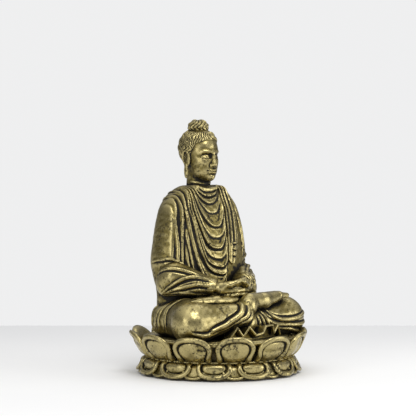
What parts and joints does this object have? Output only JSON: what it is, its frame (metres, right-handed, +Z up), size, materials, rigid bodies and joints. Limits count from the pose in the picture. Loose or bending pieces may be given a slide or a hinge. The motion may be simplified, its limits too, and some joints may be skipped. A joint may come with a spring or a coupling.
{
  "type": "seated buddha statue",
  "caption": "Antique brass statue of a robed figure seated in meditation on a double lotus pedestal, with its hands together in its lap.",
  "frame": {"origin": "centre of the pedestal on the plane that the statue stands on", "axes": "+Z up, -Y the way the figure faces, +X towards the figure's left hand"},
  "size_m": [0.1072, 0.1072, 0.15],
  "materials": {
    "antique_brass": "cast brass with a dark patina in the hollows and bright, worn ridges",
    "dark_brass": "cast brass left dark behind the petals",
    "steel": "plain turned steel, slightly dull",
    "felt": "short, dense, matt wool felt"
  },
  "bodies": {
    "root": {"felt_pad": "felt", "base_plate": "antique_brass", "base_screws": "steel", "pedestal_drum": "dark_brass", "waist_ring": "antique_brass", "lotus_bowl": "dark_brass", "seat_disc": "antique_brass", "seat_pins": "steel", "lower_body": "antique_brass", "torso": "antique_brass", "cross_bar": "steel", "tie_rod": "steel", "rod_washer": "steel", "rod_nut": "steel", "right_sleeve": "antique_brass", "left_sleeve": "antique_brass", "shoulder_dowels": "steel", "right_hand": "antique_brass", "left_hand": "antique_brass", "wrist_dowels": "steel", "right_foot": "antique_brass", "left_foot": "antique_brass", "foot_pins": "steel", "hem_fan": "antique_brass", "shoulder_sash": "antique_brass", "head": "antique_brass", "neck_pin": "steel", "topknot": "antique_brass", "upper_petal_1": "antique_brass", "upper_petal_2": "antique_brass", "upper_petal_3": "antique_brass", "upper_petal_4": "antique_brass", "upper_petal_5": "antique_brass", "upper_petal_6": "antique_brass", "upper_petal_7": "antique_brass", "upper_petal_8": "antique_brass", "upper_petal_9": "antique_brass", "upper_petal_10": "antique_brass", "upper_petal_11": "antique_brass", "upper_petal_12": "antique_brass", "lower_petal_1": "antique_brass", "lower_petal_2": "antique_brass", "lower_petal_3": "antique_brass", "lower_petal_4": "antique_brass", "lower_petal_5": "antique_brass", "lower_petal_6": "antique_brass", "lower_petal_7": "antique_brass", "lower_petal_8": "antique_brass", "lower_petal_9": "antique_brass", "lower_petal_10": "antique_brass", "lower_petal_11": "antique_brass", "lower_petal_12": "antique_brass"}
  },
  "joints": []
}
